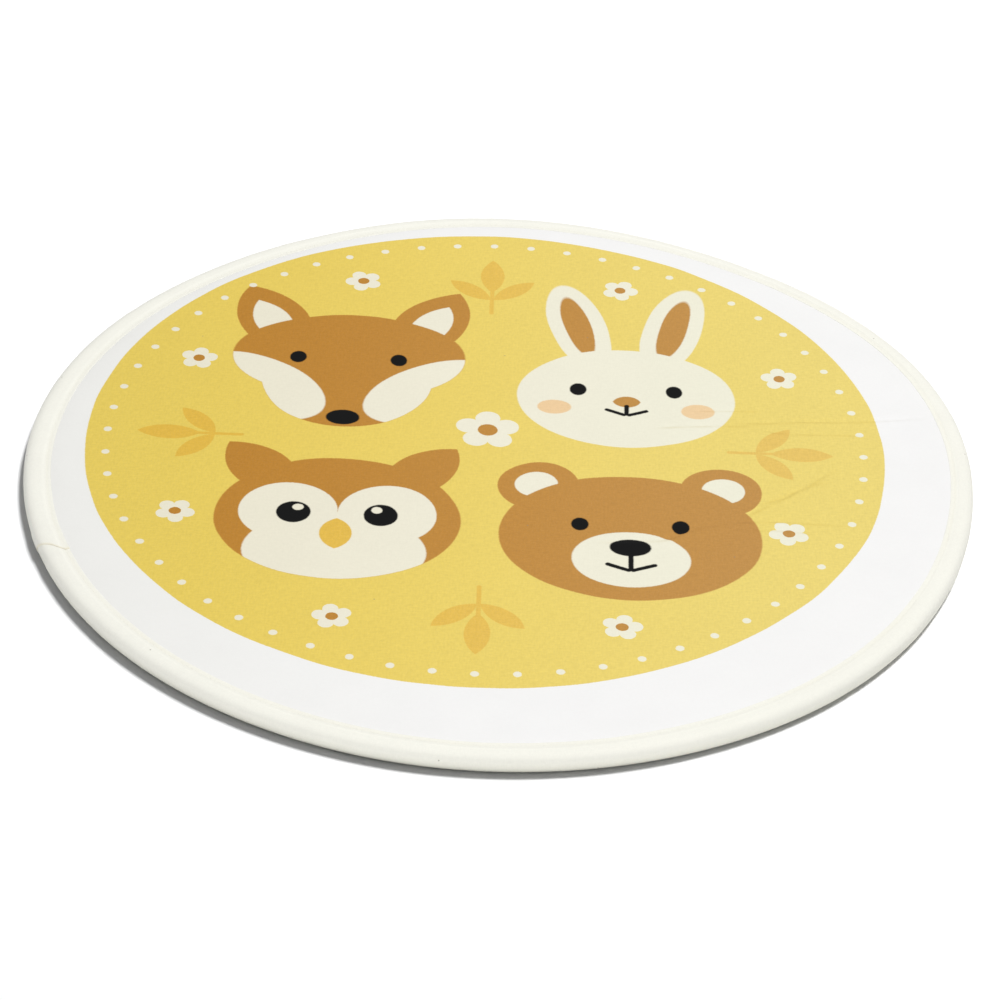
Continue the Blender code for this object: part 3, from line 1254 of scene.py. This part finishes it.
def make_camera(scene, studio):
    tilt = studio.elevation
    back = Vector((0, -cos(tilt), sin(tilt)))
    level, rise = Vector((1, 0, 0)), Vector((0, sin(tilt), cos(tilt)))
    right = level * cos(studio.roll) + rise * sin(studio.roll)
    up = rise * cos(studio.roll) - level * sin(studio.roll)
    lens = bpy.data.cameras.new("camera")
    lens.lens, lens.sensor_width, lens.sensor_fit = studio.lens, SENSOR, "HORIZONTAL"
    lens.clip_start, lens.clip_end = CAMERA_REACH
    camera = bpy.data.objects.new("camera", lens)
    turned = Matrix((right, up, back)).transposed().to_4x4()
    camera.matrix_world = Matrix.Translation(AIM + back * studio.distance) @ turned
    scene.collection.objects.link(camera)
    scene.camera = camera


def make_fill(scene, strength):
    """Light from all round, with the sky itself a paler and brighter one."""
    scene.world = scene.world or bpy.data.worlds.new("studio")
    scene.world.use_nodes = True
    tree = scene.world.node_tree
    fill = tree.nodes["Background"]
    seen = Wire(add(tree, "ShaderNodeLightPath", {}), "Is Camera Ray")
    power = maths("MULTIPLY_ADD", seen, 1 - strength, strength)
    connect(fill, {"Strength": power, "Color": mixed(seen, FILL_TINT, SKY)})


class MAT_OT_printed_pad(bpy.types.Operator):
    """Makes the printed, foam-filled pad"""

    bl_idname = "mat.printed_pad"
    bl_label = "Printed pad"

    def execute(self, context):
        settings = context.scene.mat_settings
        pad = make_pad_mesh(settings.creases, settings.unevenness)
        pad.data.materials.append(face_cloth(settings))
        pad.data.materials.append(backing_cloth(settings))
        for face in pad.data.polygons:
            face.material_index = 1 if face.normal.z < -0.9 and face.center.z < 1e-4 else 0
        make_active(pad)
        bpy.ops.object.shade_smooth_by_angle(angle=SHARP)
        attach(pad, BODY)
        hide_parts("pad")
        return {"FINISHED"}


class MAT_OT_binding(bpy.types.Operator):
    """Makes the strip of binding cloth that wraps the rim"""

    bl_idname = "mat.binding"
    bl_label = "Binding"

    def execute(self, context):
        settings = context.scene.mat_settings
        binding = make_binding_mesh(settings.puckers)
        binding.data.materials.append(binding_cloth(settings))
        make_active(binding)
        bpy.ops.object.shade_smooth_by_angle(angle=SHARP)
        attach(binding, BODY)
        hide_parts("binding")
        return {"FINISHED"}


class MAT_OT_stitches(bpy.types.Operator):
    """Makes the row of stitches in the groove"""

    bl_idname = "mat.stitches"
    bl_label = "Stitches"

    def execute(self, context):
        stitches = make_stitches_mesh()
        stitches.data.materials.append(thread_material(context.scene.mat_settings))
        make_active(stitches)
        bpy.ops.object.shade_smooth()
        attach(stitches, BODY)
        return {"FINISHED"}


class MAT_OT_stage(bpy.types.Operator):
    """Makes the pale floor, the studio light and the camera"""

    bl_idname = "mat.stage"
    bl_label = "Stage"

    def execute(self, context):
        scene, studio = context.scene, context.scene.studio_settings
        deselect_all()
        bpy.ops.mesh.primitive_plane_add(size=FLOOR_SIZE, location=(0, 0, 0))
        floor = context.object
        floor.name = floor.data.name = "pale_floor"
        floor.data.transform(Matrix.Translation((0, 0, -FLOOR_DROP)))
        floor.data.materials.append(floor_material(scene.mat_settings))

        mat = collected("mat_pieces", "printed_pad", "binding_strip", "groove_stitches")
        ground = collected("ground", "pale_floor")
        at = (studio.floor_turn, studio.floor_height, FLOOR_LIGHT_DISTANCE)
        studio_light("floor_light", studio.floor_power, at, FLOOR_LIGHT_SIZE, ground)
        at = (studio.key_turn, studio.key_height, studio.key_distance)
        studio_light("key_light", studio.key, at, (studio.key_size,) * 2, mat)
        at = (studio.front_turn, studio.front_height, FRONT_DISTANCE)
        studio_light("front_fill", studio.front, at, FRONT_SIZE, mat)
        make_fill(scene, studio.fill)
        make_camera(scene, studio)
        scene.view_settings.view_transform = "Standard"
        return {"FINISHED"}


class MAT_PT_pieces(bpy.types.Panel):
    """Lists the mat's pieces, its settings and the stage"""

    bl_label = "Round padded mat"
    bl_idname = "MAT_PT_pieces"
    bl_space_type = "VIEW_3D"
    bl_region_type = "UI"
    bl_category = "Mat"

    def draw(self, context):
        for operator in OPERATORS:
            self.layout.operator(operator.bl_idname)
        for settings in (context.scene.mat_settings, context.scene.studio_settings):
            box = self.layout.box()
            for name in settings.bl_rna.properties.keys():
                if name not in ("rna_type", "name"):
                    box.prop(settings, name)


OPERATORS = (MAT_OT_printed_pad, MAT_OT_stitches, MAT_OT_binding, MAT_OT_stage)
CLASSES = (MatSettings, StudioSettings, *OPERATORS, MAT_PT_pieces)


def register():
    for cls in CLASSES:
        bpy.utils.register_class(cls)
    bpy.types.Scene.mat_settings = PointerProperty(type=MatSettings)
    bpy.types.Scene.studio_settings = PointerProperty(type=StudioSettings)


def unregister():
    del bpy.types.Scene.studio_settings
    del bpy.types.Scene.mat_settings
    for cls in reversed(CLASSES):
        bpy.utils.unregister_class(cls)


def main():
    register()
    bpy.ops.mat.printed_pad()
    bpy.ops.mat.stitches()
    bpy.ops.mat.binding()
    bpy.ops.mat.stage()


if __name__ == "__main__":
    main()
